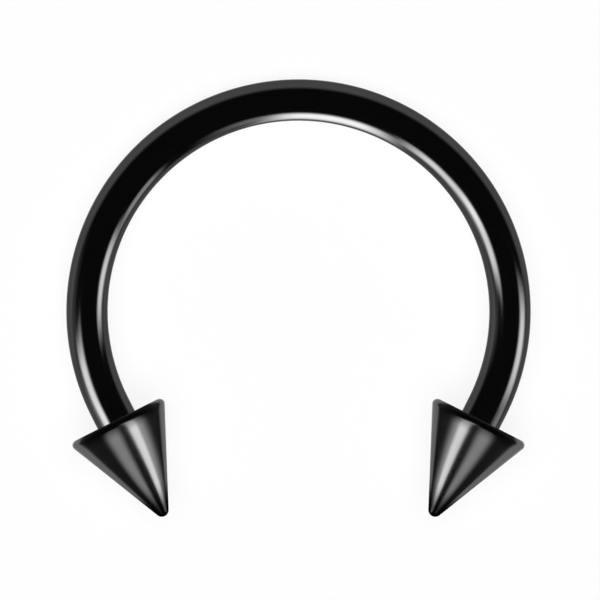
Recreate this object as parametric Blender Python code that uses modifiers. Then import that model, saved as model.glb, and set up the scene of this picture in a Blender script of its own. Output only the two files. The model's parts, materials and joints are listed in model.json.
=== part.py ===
"""Curved barbell piercing ring: an open round bar with a pointed cone screwed on each end.

Metres, +Z up. The ring lies as it does on a table, seen from above with its mouth towards -Y. Three
points touch the table at Z = 0: the bar at the middle of its arc, on the +Y side, and the rim of each
cone. The origin is on the table, under the middle of the whole ring.
"""

import math

import bmesh
import bpy
from mathutils import Matrix, Vector

# The bar: round wire bent to an arc, then straight for a short run into each cone. Each end of the
# arc passes the level of the ring's centre by ARC_PAST_CENTRE.
BAR_DIAMETER = 0.0012
INSIDE_DIAMETER = 0.0110
ARC_PAST_CENTRE = math.radians(26.8)
STRAIGHT_RUN = 0.00042

# The cones, measured over their rounded rim and from their flat back to their blunt tip.
CONE_DIAMETER = 0.00295
CONE_LENGTH = 0.00311
CONE_TIP_RADIUS = 0.0002
CONE_RIM_RADIUS = 0.00015

# The screw joint. The bar's shoulder seats in the cone's back, and the threaded post beyond it goes
# into a blind hole, which ends where CONE_WALL is left between it and the cone's slope. The thread's
# foot and crest are shares of its pitch, and the part sunk in the post's core is a share of its depth.
SEAT_DEPTH = 0.00015
SHOULDER_STEP = 0.00005
THREAD_PITCH = 0.00025
THREAD_DEPTH = 0.00014
THREAD_RELIEF = 0.0001
THREAD_FOOT_SHARE = 0.84
THREAD_CREST_SHARE = 0.16
THREAD_SUNK_SHARE = 0.25
POST_CHAMFER = 0.00008
POST_END_GAP = 0.0001
CONE_WALL = 0.0002
DRILL_POINT_ANGLE = math.radians(118)
CLEARANCE = 0.00003

# How finely the round shapes are divided.
BAR_SIDES = 24
ARC_STEPS = 60
CONE_SIDES = 48
TIP_STEPS = 5
RIM_STEPS = 5
THREAD_SIDES = 24
MERGE_DISTANCE = 0.0000005
SHARP_ANGLE = math.radians(30)

# The coating, which is glossier and darker on the bar than on the cones.
BAR_COLOUR = (0.055, 0.055, 0.057, 1.0)
BAR_ROUGHNESS = 0.17
CONE_COLOUR = (0.138, 0.138, 0.142, 1.0)
CONE_ROUGHNESS = 0.24
LEFT, RIGHT = -1, 1

# Sizes that follow from those above.
bar_radius = BAR_DIAMETER / 2
ring_radius = (INSIDE_DIAMETER + BAR_DIAMETER) / 2
crest_radius = bar_radius - SHOULDER_STEP
root_radius = crest_radius - THREAD_DEPTH
seat_radius = bar_radius + CLEARANCE
hole_radius = crest_radius + CLEARANCE
rim_centre_radius = CONE_DIAMETER / 2 - CONE_RIM_RADIUS
tip_centre_height = CONE_LENGTH - CONE_TIP_RADIUS


def cone_slope():
    """The angle between the cone's slope and its axis: the slope touches the rim's arc and the tip's."""
    rise = tip_centre_height - CONE_RIM_RADIUS
    reach = math.hypot(rim_centre_radius, rise)
    arcs = math.acos((CONE_TIP_RADIUS - CONE_RIM_RADIUS) / reach)
    return arcs - math.atan2(rise, rim_centre_radius)


def hole_depth():
    """How far the full-width hole goes in from the cone's back, leaving CONE_WALL at its corner."""
    slope = cone_slope()
    reach = rim_centre_radius + (CONE_RIM_RADIUS - CONE_WALL) / math.cos(slope) - hole_radius
    return CONE_RIM_RADIUS + reach / math.tan(slope)


def shoulder_height():
    """Where the bar's shoulder stops, measured in from the cone's back."""
    return SEAT_DEPTH - CLEARANCE


def post_length():
    return hole_depth() - POST_END_GAP - shoulder_height()


def end_axis(side):
    """The way a cone points, in the ring's own plane."""
    return Vector((-side * math.sin(ARC_PAST_CENTRE), -math.cos(ARC_PAST_CENTRE), 0))


def arc_end(side):
    """The end of the arc's centre line, in the ring's own plane."""
    across = side * ring_radius * math.cos(ARC_PAST_CENTRE)
    return Vector((across, -ring_radius * math.sin(ARC_PAST_CENTRE), 0))


def cone_back(side):
    """The middle of a cone's flat back, in the ring's own plane."""
    return arc_end(side) + STRAIGHT_RUN * end_axis(side)


def end_matrix(side):
    """A frame on a cone's back, with +Z along the cone and +X square to the ring's plane."""
    along = end_axis(side)
    square = Vector((0, 0, 1))
    rotation = Matrix((square, along.cross(square), along)).transposed()
    return Matrix.Translation(cone_back(side)) @ rotation.to_4x4()


def resting_tilt():
    """The lean of the ring's plane at which the arc's middle and both cone rims touch the table.

    With s the sine of the lean, the bar reaches down ring_radius * s + bar_radius from the ring's
    centre, and a cone as far as its rim's circle, whose plane leans too. Setting them equal gives a
    quadratic in s.
    """
    axis = end_axis(LEFT)
    rim_centre = cone_back(LEFT) + CONE_RIM_RADIUS * axis
    span = ring_radius - rim_centre.y
    spare = bar_radius - CONE_RIM_RADIUS
    lean = rim_centre_radius * axis.y
    square_term = span**2 + lean**2
    root = (span * spare) ** 2 - square_term * (spare**2 - rim_centre_radius**2)
    return math.asin((math.sqrt(root) - span * spare) / square_term)


def ring_placement():
    """The ring's plane on the table, moved so that the origin is under the middle of the ring."""
    tilt = resting_tilt()
    front = tip_centre_height * end_axis(LEFT).y + cone_back(LEFT).y
    highest_y = ring_radius * math.cos(tilt) + bar_radius
    lowest_y = front * math.cos(tilt) - CONE_TIP_RADIUS
    height = ring_radius * math.sin(tilt) + bar_radius
    place = Vector((0, -(highest_y + lowest_y) / 2, height))
    return Matrix.Translation(place) @ Matrix.Rotation(-tilt, 4, "X")


def clear_scene():
    for obj in list(bpy.data.objects):
        bpy.data.objects.remove(obj, do_unlink=True)


def new_collection(name):
    made = bpy.data.collections.new(name)
    bpy.context.scene.collection.children.link(made)
    return made


def black_steel(name, colour, roughness):
    """Polished steel under a thin black coating."""
    material = bpy.data.materials.new(name)
    material.use_nodes = True
    shader = material.node_tree.nodes["Principled BSDF"]
    shader.inputs["Base Color"].default_value = colour
    shader.inputs["Metallic"].default_value = 1.0
    shader.inputs["Roughness"].default_value = roughness
    return material


def evaluated_mesh(obj):
    """A new mesh of the object as its modifiers or its bevel make it."""
    bpy.context.view_layer.update()
    graph = bpy.context.evaluated_depsgraph_get()
    return bpy.data.meshes.new_from_object(obj.evaluated_get(graph))


def shade(mesh):
    mesh.shade_smooth()
    mesh.set_sharp_from_angle(angle=SHARP_ANGLE)


def turned_mesh(name, profile, sides, closed=False, turns=1.0, rise=0.0):
    """A profile of (radius, height) points turned about Z by a Screw, rising along Z as it turns."""
    edges = [(i, i + 1) for i in range(len(profile) - 1)]
    if closed:
        edges.append((len(profile) - 1, 0))
    outline = bpy.data.meshes.new(name + "_profile")
    outline.from_pydata([(radius, 0, height) for radius, height in profile], edges, [])
    helper = bpy.data.objects.new(name + "_profile", outline)
    bpy.context.scene.collection.objects.link(helper)
    screw = helper.modifiers.new("Screw", "SCREW")
    screw.angle = math.tau * turns
    screw.steps = screw.render_steps = round(sides * turns)
    screw.screw_offset = rise
    screw.use_merge_vertices = rise == 0.0
    screw.merge_threshold = MERGE_DISTANCE
    mesh = evaluated_mesh(helper)
    mesh.name = name
    bpy.data.objects.remove(helper, do_unlink=True)
    bpy.data.meshes.remove(outline)
    return mesh


def arc_points(centre, radius, start, end, steps):
    """Points along an arc, as (radius, height), from one angle to another."""
    angles = [start + (end - start) * i / steps for i in range(steps + 1)]
    return [(centre[0] + radius * math.cos(a), centre[1] + radius * math.sin(a)) for a in angles]


def cone_profile():
    """From the tip down the slope, round the rim, across the flat back, and up the seat and hole."""
    slope = cone_slope()
    top = (0.0, CONE_LENGTH)
    tip = arc_points((0.0, tip_centre_height), CONE_TIP_RADIUS, math.pi / 2, slope, TIP_STEPS)[1:]
    rim_centre = (rim_centre_radius, CONE_RIM_RADIUS)
    rim = arc_points(rim_centre, CONE_RIM_RADIUS, slope, -math.pi / 2, RIM_STEPS)
    depth = hole_depth()
    drill_point = hole_radius / math.tan(DRILL_POINT_ANGLE / 2)
    socket = [
        (seat_radius, 0.0),
        (seat_radius, SEAT_DEPTH),
        (hole_radius, SEAT_DEPTH),
        (hole_radius, depth),
        (0.0, depth + drill_point),
    ]
    return [top, *tip, *rim, *socket]


def thread_mesh():
    """The thread's ridge, a helix that starts past the relief groove and ends at the post's chamfer."""
    inside = root_radius - THREAD_SUNK_SHARE * THREAD_DEPTH
    half_foot = THREAD_FOOT_SHARE * THREAD_PITCH / 2
    half_crest = THREAD_CREST_SHARE * THREAD_PITCH / 2
    start = shoulder_height() + THREAD_RELIEF + half_foot
    end = shoulder_height() + post_length() - POST_CHAMFER - half_foot
    turns = (end - start) / THREAD_PITCH
    profile = [
        (inside, start + half_foot),
        (crest_radius, start + half_crest),
        (crest_radius, start - half_crest),
        (inside, start - half_foot),
    ]
    mesh = turned_mesh("thread", profile, THREAD_SIDES, True, turns, end - start)
    shape = bmesh.new()
    shape.from_mesh(mesh)
    open_edges = [edge for edge in shape.edges if edge.is_boundary]
    bmesh.ops.holes_fill(shape, edges=open_edges, sides=len(profile))
    bmesh.ops.recalc_face_normals(shape, faces=shape.faces)
    shape.to_mesh(mesh)
    shape.free()
    return mesh


def bar_centre_line():
    """Points of the bar's centre line from one shoulder to the other, in the ring's own plane."""
    start = math.pi + ARC_PAST_CENTRE
    sweep = math.pi + 2 * ARC_PAST_CENTRE
    angles = [start - sweep * i / ARC_STEPS for i in range(ARC_STEPS + 1)]
    arc = [ring_radius * Vector((math.cos(a), math.sin(a), 0)) for a in angles]
    left, right = (cone_back(s) + shoulder_height() * end_axis(s) for s in (LEFT, RIGHT))
    return [left, *arc, right]


def wire_mesh(name, points):
    """A round wire along the points, with its caps welded on."""
    curve = bpy.data.curves.new(name, "CURVE")
    curve.dimensions = "3D"
    curve.twist_mode = "Z_UP"
    curve.bevel_depth = bar_radius
    # A round bevel has 4 sides, and 2 more for each step of its resolution.
    curve.bevel_resolution = (BAR_SIDES - 4) // 2
    curve.use_fill_caps = True
    spline = curve.splines.new("POLY")
    spline.points.add(len(points) - 1)
    for spot, point in zip(spline.points, points):
        spot.co = (*point, 1.0)
    helper = bpy.data.objects.new(name, curve)
    bpy.context.scene.collection.objects.link(helper)
    mesh = evaluated_mesh(helper)
    bpy.data.objects.remove(helper, do_unlink=True)
    bpy.data.curves.remove(curve)
    return mesh


def draw_out(shape, cap, along, length, radius):
    """Extrudes a round cap by a length and gives its new edge a radius. Returns the new cap."""
    centre = cap.calc_center_median()
    cap = bmesh.ops.extrude_discrete_faces(shape, faces=[cap])["faces"][0]
    for vert in cap.verts:
        outward = (vert.co - centre).normalized()
        vert.co = centre + radius * outward + length * along
    return cap


def add_post(shape, side):
    """Draws the thread's core out of the bar's end cap, with a flat shoulder and a chamfered end."""
    along = end_axis(side)
    shoulder = cone_back(side) + shoulder_height() * along
    triangles = [face for face in shape.faces if len(face.verts) == 3]
    near = [face for face in triangles if (face.calc_center_median() - shoulder).length < bar_radius]
    cap = bmesh.ops.dissolve_faces(shape, faces=near)["region"][0]
    cap = draw_out(shape, cap, along, 0.0, root_radius)
    cap = draw_out(shape, cap, along, post_length() - POST_CHAMFER, root_radius)
    draw_out(shape, cap, along, POST_CHAMFER, root_radius - POST_CHAMFER)


def make_bar(parts, cutters, plane):
    """The bent bar with a post at each end, joined to its two threads."""
    mesh = wire_mesh("curved_bar", bar_centre_line())
    shape = bmesh.new()
    shape.from_mesh(mesh)
    bmesh.ops.remove_doubles(shape, verts=shape.verts, dist=MERGE_DISTANCE)
    for side in (LEFT, RIGHT):
        add_post(shape, side)
    bmesh.ops.recalc_face_normals(shape, faces=shape.faces)
    shape.to_mesh(mesh)
    shape.free()
    shade(mesh)
    mesh.materials.append(black_steel("black_steel_bar", BAR_COLOUR, BAR_ROUGHNESS))
    bar = bpy.data.objects.new("curved_bar", mesh)
    parts.objects.link(bar)
    bar.parent = plane

    thread = thread_mesh()
    for side, name in ((LEFT, "thread_left"), (RIGHT, "thread_right")):
        ridge = bpy.data.objects.new(name, thread)
        cutters.objects.link(ridge)
        ridge.parent = plane
        ridge.matrix_local = end_matrix(side)
        ridge.hide_render = True
        ridge.display_type = "WIRE"
        union = bar.modifiers.new(name, "BOOLEAN")
        union.operation = "UNION"
        union.solver = "EXACT"
        union.object = ridge


def make_cones(parts, plane):
    """Both cones, which share one turned shape. Each one's origin is on its own axis, at its back."""
    mesh = turned_mesh("cone", cone_profile(), CONE_SIDES)
    shade(mesh)
    mesh.materials.append(black_steel("black_steel_cone", CONE_COLOUR, CONE_ROUGHNESS))
    for side, name in ((LEFT, "cone_left"), (RIGHT, "cone_right")):
        cone = bpy.data.objects.new(name, mesh)
        parts.objects.link(cone)
        cone.parent = plane
        cone.matrix_local = end_matrix(side)


def main():
    clear_scene()
    parts = new_collection("piercing_ring")
    cutters = new_collection("piercing_ring_cutters")
    plane = bpy.data.objects.new("ring_plane", None)
    parts.objects.link(plane)
    plane.matrix_world = ring_placement()
    make_bar(parts, cutters, plane)
    make_cones(parts, plane)
    bpy.context.view_layer.update()


main()
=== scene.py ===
"""Finish and studio for a curved barbell piercing ring.

The ring lies on a pale floor and is seen square to its own plane. The solid model gives the place and
the size of the bar and of both cones. The pieces made here keep those outlines and have the surfaces
that the solids leave plain: the cut threads, the rounded edges and the polished black coating.
"""

import json
import math
from collections import namedtuple

import bmesh
import bpy
from bpy.props import FloatProperty, FloatVectorProperty, IntProperty, PointerProperty
from mathutils import Matrix, Vector

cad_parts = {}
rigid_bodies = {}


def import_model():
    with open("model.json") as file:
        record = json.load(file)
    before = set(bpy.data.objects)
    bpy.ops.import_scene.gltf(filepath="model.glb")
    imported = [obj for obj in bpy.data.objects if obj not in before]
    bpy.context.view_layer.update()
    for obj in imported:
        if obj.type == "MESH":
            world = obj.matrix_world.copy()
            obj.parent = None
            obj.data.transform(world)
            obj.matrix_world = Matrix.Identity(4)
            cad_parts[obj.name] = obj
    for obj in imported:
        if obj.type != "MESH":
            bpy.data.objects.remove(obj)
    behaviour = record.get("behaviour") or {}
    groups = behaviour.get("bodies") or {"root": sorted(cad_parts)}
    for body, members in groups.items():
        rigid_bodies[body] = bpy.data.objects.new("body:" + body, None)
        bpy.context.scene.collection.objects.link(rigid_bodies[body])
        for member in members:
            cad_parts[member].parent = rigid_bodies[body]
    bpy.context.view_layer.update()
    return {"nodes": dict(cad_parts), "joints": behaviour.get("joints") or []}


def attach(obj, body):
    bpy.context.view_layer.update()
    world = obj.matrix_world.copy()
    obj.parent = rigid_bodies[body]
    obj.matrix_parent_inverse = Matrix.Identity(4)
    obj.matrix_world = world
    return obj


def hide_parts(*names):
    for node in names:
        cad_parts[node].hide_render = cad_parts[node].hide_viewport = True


bl_info = {
    "name": "Piercing Ring Finish",
    "version": (1, 0, 0),
    "blender": (4, 5, 0),
    "location": "View3D > Sidebar > Ring",
    "description": "Makes a polished bar and two screw-on cones, and a studio for them",
    "category": "Object",
}

for startup_object in list(bpy.data.objects):
    bpy.data.objects.remove(startup_object, do_unlink=True)
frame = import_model()

# What the solid model says of the ring, measured on its nodes below.
RingPlace = namedtuple("RingPlace", "centre across crown square ring_radius bar_radius")
ConePlace = namedtuple("ConePlace", "body origin axis length radius rim_radius hole post")
Hole = namedtuple("Hole", "seat_radius seat_depth radius depth point_depth")
Post = namedtuple("Post", "shoulder end crest_radius root_radius")

# Two lengths nearer than this, in metres, are taken as one when a node is measured. A corner's place is
# read to so many decimals of a metre.
SAME_LENGTH = 0.000002
CORNER_DECIMALS = 8


def corners(node):
    """A node's corner points, each once, in a fixed order."""
    solid = frame["nodes"][node].data
    found = {tuple(round(value, CORNER_DECIMALS) for value in vert.co) for vert in solid.vertices}
    return [Vector(point) for point in sorted(found)]


def span(points, direction):
    """How far the points reach along a direction: lowest and highest."""
    reach = [point.dot(direction) for point in points]
    return min(reach), max(reach)


def heights_and_radii(points, origin, axis):
    """Each point as its height along an axis and its distance from it."""
    return [((p - origin).dot(axis), (p - origin).cross(axis).length) for p in points]


def measure_ring():
    """The bar's arc: the ring's own directions, its centre, and the radii of arc and bar."""
    left, right = (Vector(joint["axis"]).normalized() for joint in frame["joints"])
    square = right.cross(left).normalized()
    crown = -(left + right).normalized()
    across = crown.cross(square)
    points = corners("curved_bar")
    low, high = span(points, square)
    bar_radius = (high - low) / 2
    west, east = span(points, across)
    ring_radius = (east - west) / 2 - bar_radius
    top = span(points, crown)[1] - bar_radius - ring_radius
    centre = across * (west + east) / 2 + crown * top + square * (low + high) / 2
    return RingPlace(centre, across, crown, square, ring_radius, bar_radius)


def measure_hole(outline):
    """The stepped hole in a cone's back, from its turned outline of heights and radii."""
    seat_radius = min(radius for height, radius in outline if height < SAME_LENGTH)
    inner = [(h, r) for h, r in outline if r < seat_radius - SAME_LENGTH]
    seat_depth = min(height for height, radius in inner)
    radius = max(r for h, r in inner if h < seat_depth + SAME_LENGTH)
    depth = max(h for h, r in inner if abs(r - radius) < SAME_LENGTH)
    point_depth = min(h for h, r in inner if r < SAME_LENGTH and h > depth)
    return Hole(seat_radius, seat_depth, radius, depth, point_depth)


def measure_post(origin, axis):
    """The bar's threaded end, as heights from the cone's back."""
    found = heights_and_radii(corners("curved_bar"), origin, axis)
    near = [(h, r) for h, r in found if h > 0 and r < RING.bar_radius + SAME_LENGTH]
    shoulder = max(h for h, r in near if r > RING.bar_radius - SAME_LENGTH)
    root_radius = min(r for h, r in near if abs(h - shoulder) < SAME_LENGTH)
    crest_radius = max(r for h, r in near if h > shoulder + SAME_LENGTH)
    return Post(shoulder, max(h for h, r in near), crest_radius, root_radius)


def measure_cone(node, joint):
    """A cone's place, its outline's sizes, its hole, and the post that goes into it."""
    axis = Vector(joint["axis"]).normalized()
    points = corners(node)
    middle = sum(points, Vector()) / len(points)
    back, tip = span(points, axis)
    origin = middle + axis * (back - middle.dot(axis))
    outline = heights_and_radii(points, origin, axis)
    radius = max(r for h, r in outline)
    rim_radius = radius - max(r for h, r in outline if h < SAME_LENGTH)
    hole = measure_hole(outline)
    post = measure_post(origin, axis)
    return ConePlace(joint["child"], origin, axis, tip - back, radius, rim_radius, hole, post)


RING = measure_ring()
CONES = {
    node: measure_cone(node, joint) for node, joint in zip(("cone_left", "cone_right"), frame["joints"])
}
# Both cones and both posts are alike, so the left one gives the sizes that they share.
LEFT_CONE = CONES["cone_left"]
POST = LEFT_CONE.post

# How finely the pieces are cut up, in sections.
STRAIGHT_STEPS = 6
SHOULDER_STEPS = 6
THREAD_STEPS_PER_TURN = 16
TIP_STEPS = 12
SLOPE_STEPS = 24
RIM_STEPS = 12
LIP_STEPS = 5
GROOVE_STEPS_PER_TURN = 12
# A cone's tip is closed by a point past this angle up its round end.
TIP_CAP_ANGLE = math.radians(84)
# Faces that meet at less than this are shaded as one.
SMOOTH_ANGLE = math.radians(34)

# A thread's ridge across its crest and its foot, as shares of a turn to each side of its middle.
CREST_HALF = 0.08
FOOT_HALF = 0.35

# The coating's detail. Noise is read between its low and its high value, and moves the colour and the
# gloss by a share of themselves either way.
NOISE_LOW, NOISE_HIGH = 0.3, 0.7
CLOUDS_PER_METRE = 900.0
CLOUD_DETAIL = 4.0
CLOUDS_IN_COLOUR = 0.06
CLOUDS_IN_GLOSS = 0.07
LINE_DETAIL = 3.0
LINES_IN_GLOSS = 0.06
LINE_DEPTH = 0.000002
LINE_STRENGTH = 0.04
# Polishing lines a metre. They run along the bar, which is +Z before it was bent. The lathe's lines run
# round a cone, so they change only along it, which is +Z too.
BAR_LINES = (60000.0, 60000.0, 700.0)
CONE_LINES = (900.0, 900.0, 50000.0)
# The painted shade on a cone's back edge starts, and is darkest, where its outward direction turns so
# far towards the front or the rear.
FRONT_FADE = (0.5, 0.75)
# Which sockets a mix of two colours uses. Several have the same name, so they are picked by number.
MIX_SHARE, MIX_FIRST, MIX_SECOND, MIX_RESULT = 0, 6, 7, 2

# The studio's own detail: how finely a tent's sphere is cut up, and the floor's faint grain.
TENT_SUBDIVISIONS = 5
GRAIN_PER_METRE = 400.0
GRAIN_DETAIL = 2.0
FLOOR_ROUGHNESS = (0.85, 0.95)
# The nearest and the furthest that the camera sees, as shares of its distance.
CAMERA_REACH = (0.01, 40.0)
# A reflection in the bar may pass so many clear tent walls on its way, and isn't cut short there.
CLEAR_PASSES = 8

# Where the photograph has the ring, in its own pixels: the frame's side, the ring's outer width, and
# the middle of its arc.
PHOTO_SIDE_PX = 600
RING_WIDTH_PX = 464.6
RING_CENTRE_PX = (298.5, 311.5)

# A studio light as the polished steel sees it from the middle of its tent, in degrees and as a
# radiance. Elevation rises from the ring's plane. Lean raises the end at the higher azimuth, and both
# ends stay upright. Softness is how far the edge fades inwards and outwards, as a share of the half
# sizes.
Softbox = namedtuple("Softbox", "azimuth elevation half_width half_height lean softness radiance")
# The white wall of a tent: full brightness below one elevation, fading to the dark roof at another. It
# stands lower on the side that it leans to.
Wall = namedtuple("Wall", "full_below dark_above lean_azimuth lean radiance roof_radiance")

# Round the bar, azimuth turns from the ring's right towards its crown. The bar's outer side shows a
# light at the light's own azimuth, and its inner side shows it straight across the ring.
BAR_WALL = Wall(-17, 6, 278, 23, 1.0, 0.04)
BAR_SOFTBOXES = (
    # The light on the left, which bends down, then its soft start and the grey under it.
    Softbox(201.5, 28.5, 10, 16.5, -14, 0.6, 11.8),
    Softbox(224, 17, 11.5, 17, -28, 0.6, 11.7),
    Softbox(181, 5, 13, 16, 0, 0.8, 0.45),
    Softbox(212, -3, 14, 9, -20, 0.6, 1.8),
    # The low light at the ring's mouth, which shows inside the crown, and the grey round it.
    Softbox(260.5, -15.5, 14.8, 25, -10, 0.5, 14.5),
    Softbox(264, -6, 27, 17, 0, 0.45, 2.5),
    # The light on the right, then the grey under it, and the fainter light beside it.
    Softbox(350.5, 14.5, 12, 14, 12, 0.65, 10.3),
    Softbox(343, -4, 10, 8, 0, 0.6, 1.5),
    Softbox(324, 1, 8.5, 13.5, 0, 0.5, 3.7),
)
# Round each cone, azimuth starts where the cone points and turns towards the other cone. A cone's tent
# has a key light, the key light's softer flank, a fainter light on the cone's outer side, and a faint
# one for its back. The right cone's tent is the larger one, so its stripes spread less.
CONE_WALL = Wall(-29, -17, 90, 7, 1.0, 0.04)
BACK_LIGHT = Softbox(180, -12, 50, 16, 0, 0.9, 0.35)
ConeTent = namedtuple("ConeTent", "radius softboxes")
CONE_TENTS = {
    "cone_left": ConeTent(0.007, (
        Softbox(34.5, 34, 7.5, 36, 0, 0.25, 3.2),
        Softbox(42, 32, 11.5, 34, 0, 0.6, 1.7),
        Softbox(-27.5, 42, 12.5, 18, 10, 0.6, 1.4),
        BACK_LIGHT,
    )),
    "cone_right": ConeTent(0.011, (
        Softbox(32.5, 34, 8.5, 36, 0, 0.3, 3.1),
        Softbox(39, 32, 11, 34, 0, 0.6, 1.6),
        Softbox(-28.5, 42, 12.5, 18, 10, 0.6, 1.4),
        BACK_LIGHT,
    )),
}


class RingSizes(bpy.types.PropertyGroup):
    """The sizes that the solid model leaves open"""

    thread_pitch: FloatProperty(
        name="Thread Pitch",
        description="Rise of the screw thread in one turn",
        default=0.00025,
        min=0.0001,
        unit="LENGTH",
        precision=6,
    )
    thread_relief: FloatProperty(
        name="Thread Relief",
        description="Plain neck between the bar's shoulder and the thread",
        default=0.0001,
        min=0.0,
        unit="LENGTH",
        precision=6,
    )
    post_chamfer: FloatProperty(
        name="Post Chamfer",
        description="Chamfer on the free end of the threaded post",
        default=0.00008,
        min=0.0,
        unit="LENGTH",
        precision=6,
    )
    bar_edge_radius: FloatProperty(
        name="Bar Edge Radius",
        description="Rounding of the bar's shoulder",
        default=0.00003,
        min=0.0,
        unit="LENGTH",
        precision=6,
    )
    groove_depth: FloatProperty(
        name="Inside Groove Depth",
        description="Depth of the thread's grooves in the wall of each cone's hole",
        default=0.000035,
        min=0.0,
        unit="LENGTH",
        precision=6,
    )
    back_hollow: FloatProperty(
        name="Back Hollow",
        description="How far the lathe leaves each cone's back hollow at the edge of its hole",
        default=0.000005,
        min=0.0,
        unit="LENGTH",
        precision=6,
    )
    tip_radius: FloatProperty(
        name="Cone Tip Radius",
        description="Rounding of each cone's blunt tip",
        default=0.0002,
        min=0.00002,
        unit="LENGTH",
        precision=6,
    )
    round_sides: IntProperty(
        name="Sides",
        description="Number of sides round the bar and round each cone",
        default=96,
        min=24,
    )
    arc_steps: IntProperty(
        name="Arc Steps",
        description="Number of sections along the bar's arc",
        default=360,
        min=24,
    )


class SteelFinish(bpy.types.PropertyGroup):
    """The black coating's colours and gloss"""

    bar_colour: FloatVectorProperty(
        name="Bar Colour",
        description="Colour that the bar's black coating reflects",
        default=(0.0545, 0.0545, 0.0545),
        min=0.0,
        max=1.0,
        subtype="COLOR",
    )
    cone_colour: FloatVectorProperty(
        name="Cone Colour",
        description="Colour that the cones' black coating reflects",
        default=(0.138, 0.138, 0.138),
        min=0.0,
        max=1.0,
        subtype="COLOR",
    )
    edge_tint: FloatVectorProperty(
        name="Grazing Tint",
        description="Share of the coating's reflection that is left at a grazing angle",
        default=(0.52, 0.52, 0.52),
        min=0.0,
        max=1.0,
        subtype="COLOR",
    )
    # Painted shade on the cones: their colour and grazing tint are darkened towards the tips, in place
    # of the reflections that fade there.
    tip_shade: FloatProperty(
        name="Tip Shade",
        description="Share of the cones' colour that is left at their tips",
        default=0.12,
        min=0.0,
        max=1.0,
        subtype="FACTOR",
    )
    tip_shade_start: FloatProperty(
        name="Tip Shade Start",
        description="From each cone's back to where its colour starts to darken",
        default=0.0021,
        min=0.0,
        unit="LENGTH",
        precision=6,
    )
    # Painted shade on the cones: their colour and grazing tint are darkened at the front and rear of the
    # back edge, where each cone meets the bar, in place of the reflections that fade there.
    back_shade: FloatProperty(
        name="Back Shade",
        description="Share of the cones' colour that is left at the front and rear of their backs",
        default=0.3,
        min=0.0,
        max=1.0,
        subtype="FACTOR",
    )
    back_shade_start: FloatProperty(
        name="Back Shade Start",
        description="From each cone's back to where its colour starts to lighten",
        default=0.00013,
        min=0.0,
        unit="LENGTH",
        precision=6,
    )
    back_shade_end: FloatProperty(
        name="Back Shade End",
        description="From each cone's back to where its colour is whole",
        default=0.0005,
        min=0.0,
        unit="LENGTH",
        precision=6,
    )
    bar_roughness: FloatProperty(
        name="Bar Roughness",
        description="Blur of the reflections in the bar",
        default=0.1,
        min=0.0,
        max=1.0,
        subtype="FACTOR",
    )
    cone_roughness: FloatProperty(
        name="Cone Roughness",
        description="Blur of the reflections in the cones",
        default=0.16,
        min=0.0,
        max=1.0,
        subtype="FACTOR",
    )


class StudioSettings(bpy.types.PropertyGroup):
    """The camera, the light tents, the floor and its lights"""

    camera_distance: FloatProperty(
        name="Camera Distance",
        description="From the camera to the ring's plane",
        default=0.25,
        min=0.03,
        unit="LENGTH",
    )
    bar_tent_radius: FloatProperty(
        name="Bar Tent Radius",
        description="Radius of the light tent round the whole ring, which the bar reflects",
        default=0.09,
        min=0.02,
        unit="LENGTH",
    )
    cone_tent_height: FloatProperty(
        name="Cone Tent Height",
        description="From each cone's back to the middle of its tent",
        default=0.0009,
        unit="LENGTH",
        precision=6,
    )
    floor_side: FloatProperty(
        name="Floor Side",
        description="Length of the floor's side",
        default=2.4,
        min=0.1,
        unit="LENGTH",
    )
    floor_colour: FloatVectorProperty(
        name="Floor Colour",
        description="Colour of the pale floor",
        default=(0.9, 0.9, 0.9),
        min=0.0,
        max=1.0,
        subtype="COLOR",
    )
    backdrop_colour: FloatVectorProperty(
        name="Backdrop Colour",
        description="Colour of everything past the floor",
        default=(1.0, 1.0, 1.0),
        min=0.0,
        max=1.0,
        subtype="COLOR",
    )
    even_light: FloatProperty(
        name="Even Light",
        description="Strength of the floor's even light, which casts no shadow",
        default=2.95,
        min=0.0,
    )
    softbox_power: FloatProperty(
        name="Overhead Softbox Power",
        description="Power of the softbox that casts the faint shadow under the ring",
        default=0.5,
        min=0.0,
        unit="POWER",
    )
    softbox_height: FloatProperty(
        name="Overhead Softbox Height",
        description="From the floor up to the overhead softbox",
        default=0.5,
        min=0.05,
        unit="LENGTH",
    )
    softbox_size: FloatProperty(
        name="Overhead Softbox Size",
        description="Diameter of the overhead softbox",
        default=0.5,
        min=0.01,
        unit="LENGTH",
    )


def ring_matrix():
    """The ring's plane: +X across it, +Y towards its crown, +Z square to it, at its centre."""
    axes = Matrix((RING.across, RING.crown, RING.square)).transposed()
    return Matrix.Translation(RING.centre) @ axes.to_4x4()


def cone_matrix(cone):
    """A cone's own place: +Z along it from the middle of its back, +X square to the ring's plane."""
    axes = Matrix((RING.square, cone.axis.cross(RING.square), cone.axis)).transposed()
    return Matrix.Translation(cone.origin) @ axes.to_4x4()


def arc_points(centre, radius, start, end, steps):
    """Points along an arc as (radius, height), from one angle to another, both ends included."""
    angles = [start + (end - start) * i / steps for i in range(steps + 1)]
    return [(centre[0] + radius * math.cos(a), centre[1] + radius * math.sin(a)) for a in angles]


def fade(value, start, end):
    """0 before start, 1 after end, and a straight rise between them."""
    return min(1.0, max(0.0, (value - start) / (end - start)))


def thread_ridge(turns):
    """How high a thread's ridge stands, from 0 to 1, a number of turns away from its crest."""
    away = abs((turns + 0.5) % 1.0 - 0.5)
    return 1.0 - fade(away, CREST_HALF, FOOT_HALF)


def thread_share(height, start, end, pitch):
    """The share of a thread's depth at a height: whole, but for half a turn at its start and end."""
    return fade(height, start, start + pitch / 2) * fade(height, end, end - pitch / 2)


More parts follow.
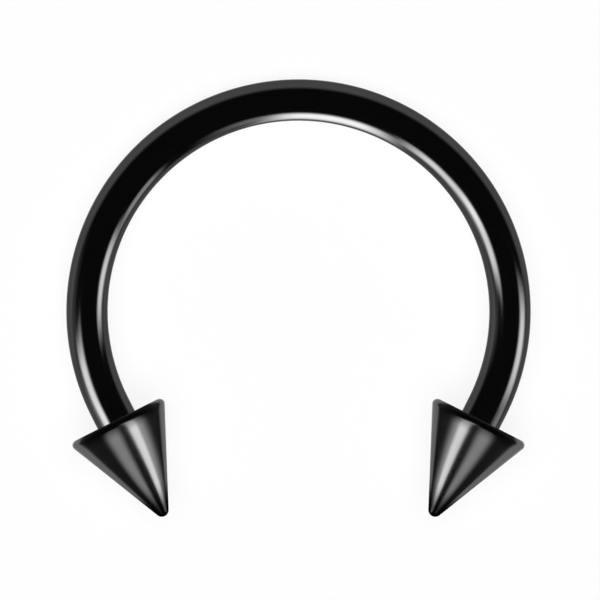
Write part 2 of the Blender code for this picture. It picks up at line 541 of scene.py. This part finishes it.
def skin(name, rings, first_point, last_point, places):
    """A closed mesh through rings of points, closed by a point past each end.

    The places are each point's position before the piece was bent, which its finish follows. They are
    kept in the mesh as the attribute called before_bending.
    """
    shape = bmesh.new()
    rows = [[shape.verts.new(point) for point in ring] for ring in rings]
    first, last = shape.verts.new(first_point), shape.verts.new(last_point)
    for row, next_row in zip(rows, rows[1:]):
        for i in range(len(row)):
            shape.faces.new((row[i - 1], row[i], next_row[i], next_row[i - 1]))
    for i in range(len(rows[0])):
        shape.faces.new((first, rows[0][i], rows[0][i - 1]))
        shape.faces.new((last, rows[-1][i - 1], rows[-1][i]))
    bmesh.ops.recalc_face_normals(shape, faces=shape.faces)
    mesh = bpy.data.meshes.new(name)
    shape.to_mesh(mesh)
    shape.free()
    before_bending = mesh.attributes.new("before_bending", "FLOAT_VECTOR", "POINT")
    before_bending.data.foreach_set("vector", [value for place in places for value in place])
    mesh.shade_smooth()
    mesh.set_sharp_from_angle(angle=SMOOTH_ANGLE)
    return mesh


def bar_run():
    """The length of the bar's arc, and of the straight run from its end to the shoulder."""
    from_centre = LEFT_CONE.origin - RING.centre
    straight = from_centre.dot(LEFT_CONE.axis)
    past_centre = math.asin(-LEFT_CONE.axis.cross(RING.square).dot(RING.crown))
    return RING.ring_radius * (math.pi + 2 * past_centre), straight + POST.shoulder


def bar_place(run, arc_length):
    """The bar's centre and direction, a length along it from where its arc starts on the left."""
    bent = min(max(run, 0.0), arc_length)
    turn = (bent - arc_length / 2) / RING.ring_radius
    outward = RING.across * math.sin(turn) + RING.crown * math.cos(turn)
    along = RING.across * math.cos(turn) - RING.crown * math.sin(turn)
    return RING.centre + RING.ring_radius * outward + along * (run - bent), along


def bar_end_profile(sizes):
    """From the bar's full width over the shoulder to the post's end.

    Each row is a height past the shoulder, a radius, and the share of the thread's depth on it.
    """
    edge = sizes.bar_edge_radius
    neck = POST.root_radius
    length = POST.end - POST.shoulder
    edge_centre = (RING.bar_radius - edge, -edge)
    round_edge = arc_points(edge_centre, edge, 0, math.pi / 2, SHOULDER_STEPS)
    neck_corner = arc_points((neck + edge, edge), edge, -math.pi / 2, -math.pi, SHOULDER_STEPS)
    rows = [(height, radius, 0.0) for radius, height in round_edge + neck_corner]
    start, end = sizes.thread_relief, length - sizes.post_chamfer
    steps = round((end - start) / sizes.thread_pitch * THREAD_STEPS_PER_TURN)
    for i in range(steps + 1):
        height = start + (end - start) * i / steps
        rows.append((height, neck, thread_share(height, start, end, sizes.thread_pitch)))
    rows.append((length, neck - sizes.post_chamfer, 0.0))
    return rows


def bar_mesh(sizes):
    """The whole bar as one skin, from the end of its left post to the end of its right one."""
    arc_length, to_shoulder = bar_run()
    ends = bar_end_profile(sizes)
    left = [(-to_shoulder - h, radius, share) for h, radius, share in reversed(ends)]
    for i in range(STRAIGHT_STEPS - 1, 0, -1):
        left.append((-to_shoulder * i / STRAIGHT_STEPS, RING.bar_radius, 0.0))
    arc_runs = [arc_length * i / sizes.arc_steps for i in range(sizes.arc_steps + 1)]
    arc = [(run, RING.bar_radius, 0.0) for run in arc_runs]
    right = [(arc_length - run, radius, share) for run, radius, share in reversed(left)]
    depth = POST.crest_radius - POST.root_radius
    rings, places = [], []
    for run, radius, share in left + arc + right:
        centre, along = bar_place(run, arc_length)
        side = along.cross(RING.square)
        ring = []
        for i in range(sizes.round_sides):
            angle = math.tau * i / sizes.round_sides
            ridge = thread_ridge(run / sizes.thread_pitch - i / sizes.round_sides) if share else 0.0
            reach = radius + share * depth * ridge
            ring.append(centre + reach * (math.cos(angle) * RING.square + math.sin(angle) * side))
            places.append((reach * math.cos(angle), reach * math.sin(angle), run))
        rings.append(ring)
    first = bar_place(left[0][0], arc_length)[0]
    last = bar_place(right[-1][0], arc_length)[0]
    places += [(0.0, 0.0, left[0][0]), (0.0, 0.0, right[-1][0])]
    return skin("polished_bar", rings, first, last, places)


def cone_slope(cone, sizes):
    """The angle between the cone's slope and its axis: the slope touches the rim's arc and the tip's."""
    rise = cone.length - sizes.tip_radius - cone.rim_radius
    rim_centre = cone.radius - cone.rim_radius
    arcs = math.acos((sizes.tip_radius - cone.rim_radius) / math.hypot(rim_centre, rise))
    return arcs - math.atan2(rise, rim_centre)


def cone_profile(cone, sizes):
    """The cone's turned outline from its tip over the rim and back into its hole.

    Each row is a radius, a height, and the share of the groove's depth that is cut there.
    """
    slope = cone_slope(cone, sizes)
    tip_centre = (0.0, cone.length - sizes.tip_radius)
    rim_centre = (cone.radius - cone.rim_radius, cone.rim_radius)
    tip = arc_points(tip_centre, sizes.tip_radius, TIP_CAP_ANGLE, slope, TIP_STEPS)
    rim = arc_points(rim_centre, cone.rim_radius, slope, -math.pi / 2, RIM_STEPS)
    slant = [
        tuple(a + (b - a) * i / SLOPE_STEPS for a, b in zip(tip[-1], rim[0]))
        for i in range(1, SLOPE_STEPS)
    ]
    hole = cone.hole
    lip = sizes.bar_edge_radius
    lip_centre = (hole.seat_radius + lip, lip + sizes.back_hollow)
    seat = arc_points(lip_centre, lip, -math.pi / 2, -math.pi, LIP_STEPS)
    seat += [(hole.seat_radius, hole.seat_depth), (hole.radius, hole.seat_depth)]
    rows = [(radius, height, 0.0) for radius, height in tip + slant + rim + seat]
    start, end = hole.seat_depth, hole.depth
    steps = round((end - start) / sizes.thread_pitch * GROOVE_STEPS_PER_TURN)
    for i in range(1, steps + 1):
        height = start + (end - start) * i / steps
        rows.append((hole.radius, height, thread_share(height, start, end, sizes.thread_pitch)))
    return rows


def cone_mesh(cone, sizes):
    """A cone as one skin turned about its own +Z, with its back at Z = 0."""
    rings, places = [], []
    for radius, height, share in cone_profile(cone, sizes):
        ring = []
        for i in range(sizes.round_sides):
            angle = math.tau * i / sizes.round_sides
            groove = thread_ridge(height / sizes.thread_pitch - i / sizes.round_sides) if share else 0.0
            reach = radius + share * sizes.groove_depth * groove
            ring.append((reach * math.cos(angle), reach * math.sin(angle), height))
        rings.append(ring)
        places += ring
    first, last = (0.0, 0.0, cone.length), (0.0, 0.0, cone.hole.point_depth)
    places += [first, last]
    return skin("polished_cone", rings, first, last, places)


class NodeGraph:
    """A material's nodes, added and joined in one call each."""

    def __init__(self, tree):
        self.tree = tree

    def add(self, kind, inputs=None, **settings):
        """Adds a node. An input that is a socket is linked, and any other is set as its value."""
        node = self.tree.nodes.new(kind)
        for name, value in settings.items():
            setattr(node, name, value)
        for name, value in (inputs or {}).items():
            socket = node.inputs[name]
            if isinstance(value, bpy.types.NodeSocket):
                self.tree.links.new(value, socket)
            else:
                socket.default_value = value
        return node

    def ramp(self, value, low, high, to_low, to_high, kind="LINEAR"):
        """A value mapped from one range to another."""
        inputs = {"Value": value, "From Min": low, "From Max": high, "To Min": to_low, "To Max": to_high}
        return self.add("ShaderNodeMapRange", inputs, interpolation_type=kind).outputs["Result"]

    def math(self, operation, *values):
        """A number worked out from others."""
        return self.add("ShaderNodeMath", dict(enumerate(values)), operation=operation).outputs["Value"]

    def vector(self, operation, *values):
        """A vector worked out from others."""
        inputs = dict(enumerate(values))
        return self.add("ShaderNodeVectorMath", inputs, operation=operation).outputs["Vector"]

    def scaled(self, vector, share):
        """A colour or a vector times a share."""
        inputs = {0: vector, "Scale": share}
        return self.add("ShaderNodeVectorMath", inputs, operation="SCALE").outputs["Vector"]

    def dot(self, vector, direction):
        """How far a vector reaches in a fixed direction."""
        inputs = {0: vector, 1: direction}
        return self.add("ShaderNodeVectorMath", inputs, operation="DOT_PRODUCT").outputs["Value"]

    def length(self, vector):
        """How long a vector is."""
        return self.add("ShaderNodeVectorMath", {0: vector}, operation="LENGTH").outputs["Value"]

    def blend(self, share, first, second):
        """A colour between two others."""
        inputs = {MIX_SHARE: share, MIX_FIRST: (*first, 1.0), MIX_SECOND: (*second, 1.0)}
        return self.add("ShaderNodeMix", inputs, data_type="RGBA").outputs[MIX_RESULT]

    def part(self, vector, axis):
        """A vector's part along X, Y or Z."""
        return self.add("ShaderNodeSeparateXYZ", {"Vector": vector}).outputs[axis]

    def noise(self, place, scale, detail):
        """Smooth noise over a place: scale waves to each unit of it, and finer ones as detail rises."""
        inputs = {"Vector": place, "Scale": scale, "Detail": detail}
        return self.add("ShaderNodeTexNoise", inputs).outputs["Fac"]


def empty_material(name):
    """A new material with its nodes cleared, as a graph and its output node."""
    material = bpy.data.materials.new(name)
    material.use_nodes = True
    material.node_tree.nodes.clear()
    graph = NodeGraph(material.node_tree)
    return material, graph, graph.add("ShaderNodeOutputMaterial")


def painted_cone_shade(graph, place, finish, tip_end):
    """The share of a cone's colour that is left under painted shade.

    This is painted shade: the colour is darkened towards the tip, and at the front and rear of the back
    edge, where the reflections fade. The back inside that edge keeps its colour.
    """
    height = graph.part(place, "Z")
    tip = graph.ramp(height, finish.tip_shade_start, tip_end, 1.0, finish.tip_shade, "SMOOTHSTEP")
    from_axis = graph.vector("MULTIPLY", place, (1.0, 1.0, 0.0))
    square = graph.part(graph.vector("NORMALIZE", from_axis), "X")
    front_or_rear = graph.ramp(graph.math("ABSOLUTE", square), *FRONT_FADE, 0.0, 1.0, "SMOOTHSTEP")
    start, end, lost = finish.back_shade_start, finish.back_shade_end, 1.0 - finish.back_shade
    at_back = graph.ramp(height, start, end, lost, 0.0, "SMOOTHSTEP")
    back_radius = LEFT_CONE.radius - LEFT_CONE.rim_radius
    off_back = graph.ramp(graph.length(from_axis), back_radius, back_radius + SAME_LENGTH, 0.0, 1.0)
    edge = graph.math("MULTIPLY", graph.math("MULTIPLY", at_back, front_or_rear), off_back)
    return graph.math("MULTIPLY", tip, graph.math("SUBTRACT", 1.0, edge))


def coated_steel(name, colour, edge_tint, roughness, line_scale, shade=None):
    """Polished steel under a thin black coating: clouds in its gloss and fine polishing lines.

    The lines run where line_scale is low. The finish follows the piece as it was before it was bent.
    A painted shade, if given, gives the share of the colour and of the grazing tint that is left, from
    the graph and the place before bending.
    """
    material, graph, output = empty_material(name)
    place = graph.add("ShaderNodeAttribute", attribute_name="before_bending").outputs["Vector"]
    clouds = graph.noise(place, CLOUDS_PER_METRE, CLOUD_DETAIL)
    stretched = graph.add("ShaderNodeMapping", {"Vector": place, "Scale": line_scale})
    lines = graph.noise(stretched.outputs["Vector"], 1.0, LINE_DETAIL)

    dull = [value * (1.0 - CLOUDS_IN_COLOUR) for value in colour]
    bright = [value * (1.0 + CLOUDS_IN_COLOUR) for value in colour]
    base = graph.blend(graph.ramp(clouds, NOISE_LOW, NOISE_HIGH, 0.0, 1.0), dull, bright)
    grazing = (*edge_tint, 1.0)
    # Painted shade: the colour and the grazing tint are scaled down by the share that the shade leaves.
    if shade:
        left = shade(graph, place)
        base = graph.scaled(base, left)
        grazing = graph.scaled(edge_tint, left)

    cloud_gloss = graph.ramp(clouds, NOISE_LOW, NOISE_HIGH, 1.0 - CLOUDS_IN_GLOSS, 1.0 + CLOUDS_IN_GLOSS)
    smooth, rough = roughness * (1.0 - LINES_IN_GLOSS), roughness * (1.0 + LINES_IN_GLOSS)
    line_gloss = graph.ramp(lines, NOISE_LOW, NOISE_HIGH, smooth, rough)
    relief = {"Height": lines, "Strength": LINE_STRENGTH, "Distance": LINE_DEPTH}
    bump = graph.add("ShaderNodeBump", relief)
    shader = graph.add(
        "ShaderNodeBsdfPrincipled",
        {
            "Base Color": base,
            "Metallic": 1.0,
            "Roughness": graph.math("MULTIPLY", cloud_gloss, line_gloss),
            "Specular Tint": grazing,
            "Normal": bump.outputs["Normal"],
        },
    )
    graph.tree.links.new(shader.outputs["BSDF"], output.inputs["Surface"])
    return material


def add_piece(name, mesh, material, body, node):
    """A piece of the ring: it rides on a body and stands for a node of the solid model."""
    mesh.materials.append(material)
    piece = bpy.data.objects.new(name, mesh)
    bpy.context.scene.collection.objects.link(piece)
    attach(piece, body)
    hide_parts(node)
    # The steel reflects its light tents alone, and no neighbour stands before them.
    piece.visible_glossy = False


def softbox_glow(graph, direction, softbox):
    """The radiance of one softbox in a direction: full inside it, none outside, soft at its edge.

    Its outline is a rectangle with well rounded corners: the fourth powers of the places across and
    up, as shares of its half sizes, add up to one there.
    """
    azimuth, elevation = math.radians(softbox.azimuth), math.radians(softbox.elevation)
    towards = Vector((
        math.cos(elevation) * math.cos(azimuth),
        math.cos(elevation) * math.sin(azimuth),
        math.sin(elevation),
    ))
    sideways = Vector((-math.sin(azimuth), math.cos(azimuth), 0.0))
    upward = towards.cross(sideways) - math.tan(math.radians(softbox.lean)) * sideways
    across = graph.dot(direction, sideways / math.sin(math.radians(softbox.half_width)))
    up = graph.dot(direction, upward / math.sin(math.radians(softbox.half_height)))
    # The third part keeps the light off the far side of the tent.
    behind = graph.math("SUBTRACT", 1.0, graph.dot(direction, towards))
    local = graph.add("ShaderNodeCombineXYZ", {"X": across, "Y": up, "Z": behind}).outputs["Vector"]
    away = graph.math("SQRT", graph.length(graph.vector("MULTIPLY", local, local)))
    inner, outer = 1.0 - softbox.softness, 1.0 + softbox.softness
    return graph.ramp(away, inner, outer, softbox.radiance, 0.0, "SMOOTHSTEP")


def tent_material(name, wall, softboxes):
    """A see-through shell that glows inwards: a white wall, a dark roof, and softboxes."""
    material, graph, output = empty_material(name)
    place = graph.add("ShaderNodeTexCoord").outputs["Object"]
    direction = graph.vector("NORMALIZE", place)
    lean, lean_azimuth = math.radians(wall.lean), math.radians(wall.lean_azimuth)
    upright = (
        math.sin(lean) * math.cos(lean_azimuth),
        math.sin(lean) * math.sin(lean_azimuth),
        math.cos(lean),
    )
    low, high = (math.sin(math.radians(edge)) for edge in (wall.full_below, wall.dark_above))
    height = graph.dot(direction, upright)
    glow = graph.ramp(height, low, high, wall.radiance, wall.roof_radiance, "SMOOTHSTEP")
    for softbox in softboxes:
        glow = graph.math("ADD", glow, softbox_glow(graph, direction, softbox))
    emission = graph.add("ShaderNodeEmission", {"Strength": glow})
    clear = graph.add("ShaderNodeBsdfTransparent")
    both = graph.add("ShaderNodeAddShader", {0: emission.outputs[0], 1: clear.outputs[0]})
    graph.tree.links.new(both.outputs[0], output.inputs["Surface"])
    material.cycles.emission_sampling = "NONE"
    return material


def light_only(source, receiver):
    """Makes a lamp or a glowing shell light one object and no other."""
    group = bpy.data.collections.new(source.name + "_lights")
    group.objects.link(receiver)
    source.light_linking.receiver_collection = group


def add_tent(name, place, radius, wall, softboxes, piece):
    """A light tent with its middle at a place, which only its own piece reflects."""
    shape = bmesh.new()
    bmesh.ops.create_icosphere(shape, subdivisions=TENT_SUBDIVISIONS, radius=radius)
    mesh = bpy.data.meshes.new(name)
    shape.to_mesh(mesh)
    shape.free()
    mesh.materials.append(tent_material(name, wall, softboxes))
    tent = bpy.data.objects.new(name, mesh)
    bpy.context.scene.collection.objects.link(tent)
    tent.matrix_world = place
    tent.visible_camera = False
    tent.visible_diffuse = False
    tent.visible_shadow = False
    light_only(tent, piece)


def add_cone_tent(node, studio):
    """The small tent round a cone. Its lights turn with the cone, and are mirrored for the right one."""
    cone, tent = CONES[node], CONE_TENTS[node]
    middle = cone.origin + studio.cone_tent_height * cone.axis
    place = Matrix.Translation(middle - RING.centre) @ ring_matrix()
    points_to = math.degrees(math.atan2(cone.axis.dot(RING.crown), cone.axis.dot(RING.across)))
    side = 1 if cone.axis.dot(RING.across) > 0 else -1
    wall = CONE_WALL._replace(lean_azimuth=points_to + side * CONE_WALL.lean_azimuth)
    softboxes = [
        box._replace(azimuth=points_to + side * box.azimuth, lean=side * box.lean)
        for box in tent.softboxes
    ]
    piece = bpy.data.objects["polished_" + node]
    add_tent(node + "_tent", place, tent.radius, wall, softboxes, piece)


def add_floor(studio):
    """A plain pale floor, which the steel doesn't reflect: it reflects the tents instead."""
    shape = bmesh.new()
    bmesh.ops.create_grid(shape, x_segments=1, y_segments=1, size=studio.floor_side / 2)
    mesh = bpy.data.meshes.new("floor")
    shape.to_mesh(mesh)
    shape.free()
    material, graph, output = empty_material("pale_floor")
    place = graph.add("ShaderNodeTexCoord").outputs["Object"]
    grain = graph.noise(place, GRAIN_PER_METRE, GRAIN_DETAIL)
    roughness = graph.ramp(grain, 0.0, 1.0, *FLOOR_ROUGHNESS)
    inputs = {"Base Color": (*studio.floor_colour, 1.0), "Roughness": roughness}
    shader = graph.add("ShaderNodeBsdfPrincipled", inputs)
    graph.tree.links.new(shader.outputs["BSDF"], output.inputs["Surface"])
    mesh.materials.append(material)
    floor = bpy.data.objects.new("floor", mesh)
    bpy.context.scene.collection.objects.link(floor)
    floor.visible_glossy = False
    return floor


def add_backdrop(studio):
    """A pale world behind the floor, which the steel doesn't reflect."""
    world = bpy.data.worlds.new("backdrop")
    bpy.context.scene.world = world
    world.use_nodes = True
    background = world.node_tree.nodes["Background"]
    background.inputs["Color"].default_value = (*studio.backdrop_colour, 1.0)
    world.cycles_visibility.glossy = False
    world.cycles_visibility.diffuse = False


def add_floor_light(name, kind, energy, height, floor):
    """A lamp straight over the ring, which lights the floor alone."""
    lamp = bpy.data.lights.new(name, kind)
    lamp.energy = energy
    light = bpy.data.objects.new(name, lamp)
    bpy.context.scene.collection.objects.link(light)
    light.location = (0.0, 0.0, height)
    light_only(light, floor)
    return lamp


def add_floor_lights(studio, floor):
    """An even light without shadows, and a softbox for the faint shadow under the ring."""
    height = studio.softbox_height
    even = add_floor_light("even_light", "SUN", studio.even_light, height, floor)
    even.use_shadow = False
    softbox = add_floor_light("overhead_softbox", "AREA", studio.softbox_power, height, floor)
    softbox.shape = "DISK"
    softbox.size = studio.softbox_size


def add_camera(studio):
    """A camera square to the ring's plane, which frames the ring as the photograph does."""
    ring_width = 2 * (RING.ring_radius + RING.bar_radius)
    pixel = ring_width / RING_WIDTH_PX
    middle = PHOTO_SIDE_PX / 2
    right = (middle - RING_CENTRE_PX[0]) * pixel
    up = (RING_CENTRE_PX[1] - middle) * pixel
    lens = bpy.data.cameras.new("camera")
    lens.lens = lens.sensor_width * studio.camera_distance / (PHOTO_SIDE_PX * pixel)
    lens.clip_start, lens.clip_end = (studio.camera_distance * share for share in CAMERA_REACH)
    camera = bpy.data.objects.new("camera", lens)
    bpy.context.scene.collection.objects.link(camera)
    camera.matrix_world = ring_matrix() @ Matrix.Translation((right, up, studio.camera_distance))
    bpy.context.scene.camera = camera


class PIERCING_OT_bar(bpy.types.Operator):
    """Make the bent bar, with its polished coating and a cut thread on each end"""

    bl_idname = "piercing_ring.bar"
    bl_label = "Make Bar"

    def execute(self, context):
        finish = context.scene.ring_finish
        steel = coated_steel(
            "black_steel_bar", finish.bar_colour, finish.edge_tint, finish.bar_roughness, BAR_LINES
        )
        mesh = bar_mesh(context.scene.ring_sizes)
        add_piece("polished_bar", mesh, steel, "bar", "curved_bar")
        return {"FINISHED"}


class PIERCING_OT_cones(bpy.types.Operator):
    """Make both screw-on cones, with their polished coating and threaded holes"""

    bl_idname = "piercing_ring.cones"
    bl_label = "Make Cones"

    def execute(self, context):
        finish = context.scene.ring_finish
        tip_end = LEFT_CONE.length - context.scene.ring_sizes.tip_radius
        # The cones' colour gets painted shade towards the tips and at the front and rear of their backs.
        steel = coated_steel(
            "black_steel_cones", finish.cone_colour, finish.edge_tint, finish.cone_roughness, CONE_LINES,
            shade=lambda graph, place: painted_cone_shade(graph, place, finish, tip_end),
        )
        for node, cone in CONES.items():
            mesh = cone_mesh(cone, context.scene.ring_sizes)
            mesh.transform(cone_matrix(cone))
            add_piece("polished_" + node, mesh, steel, cone.body, node)
        return {"FINISHED"}


class PIERCING_OT_studio(bpy.types.Operator):
    """Make the floor, the light tents, the overhead light and the camera"""

    bl_idname = "piercing_ring.studio"
    bl_label = "Make Studio"

    def execute(self, context):
        studio = context.scene.ring_studio
        floor = add_floor(studio)
        add_backdrop(studio)
        add_floor_lights(studio, floor)
        bar = bpy.data.objects["polished_bar"]
        add_tent("bar_tent", ring_matrix(), studio.bar_tent_radius, BAR_WALL, BAR_SOFTBOXES, bar)
        for node in CONES:
            add_cone_tent(node, studio)
        add_camera(studio)
        context.scene.view_settings.view_transform = "Standard"
        context.scene.cycles.min_transparent_bounces = CLEAR_PASSES
        return {"FINISHED"}


class PIERCING_PT_ring(bpy.types.Panel):
    """Sizes, finish and studio of the ring, with a button for each step"""

    bl_idname = "PIERCING_PT_ring"
    bl_label = "Piercing Ring"
    bl_space_type = "VIEW_3D"
    bl_region_type = "UI"
    bl_category = "Ring"

    def draw(self, context):
        groups = (context.scene.ring_sizes, context.scene.ring_finish, context.scene.ring_studio)
        for group in groups:
            box = self.layout.box()
            for name in group.__annotations__:
                box.prop(group, name)
        for operator in OPERATORS:
            self.layout.operator(operator.bl_idname)


GROUPS = {"ring_sizes": RingSizes, "ring_finish": SteelFinish, "ring_studio": StudioSettings}
OPERATORS = (PIERCING_OT_bar, PIERCING_OT_cones, PIERCING_OT_studio)


def register():
    """Adds the settings, the operators and the panel to Blender."""
    for name, group in GROUPS.items():
        bpy.utils.register_class(group)
        setattr(bpy.types.Scene, name, PointerProperty(type=group))
    for operator in OPERATORS:
        bpy.utils.register_class(operator)
    bpy.utils.register_class(PIERCING_PT_ring)


def unregister():
    """Takes the panel, the operators and the settings out again."""
    bpy.utils.unregister_class(PIERCING_PT_ring)
    for operator in reversed(OPERATORS):
        bpy.utils.unregister_class(operator)
    for name, group in reversed(GROUPS.items()):
        delattr(bpy.types.Scene, name)
        bpy.utils.unregister_class(group)


def main():
    """Makes the pieces and the studio."""
    register()
    bpy.ops.piercing_ring.bar()
    bpy.ops.piercing_ring.cones()
    bpy.ops.piercing_ring.studio()


if __name__ == "__main__":
    main()
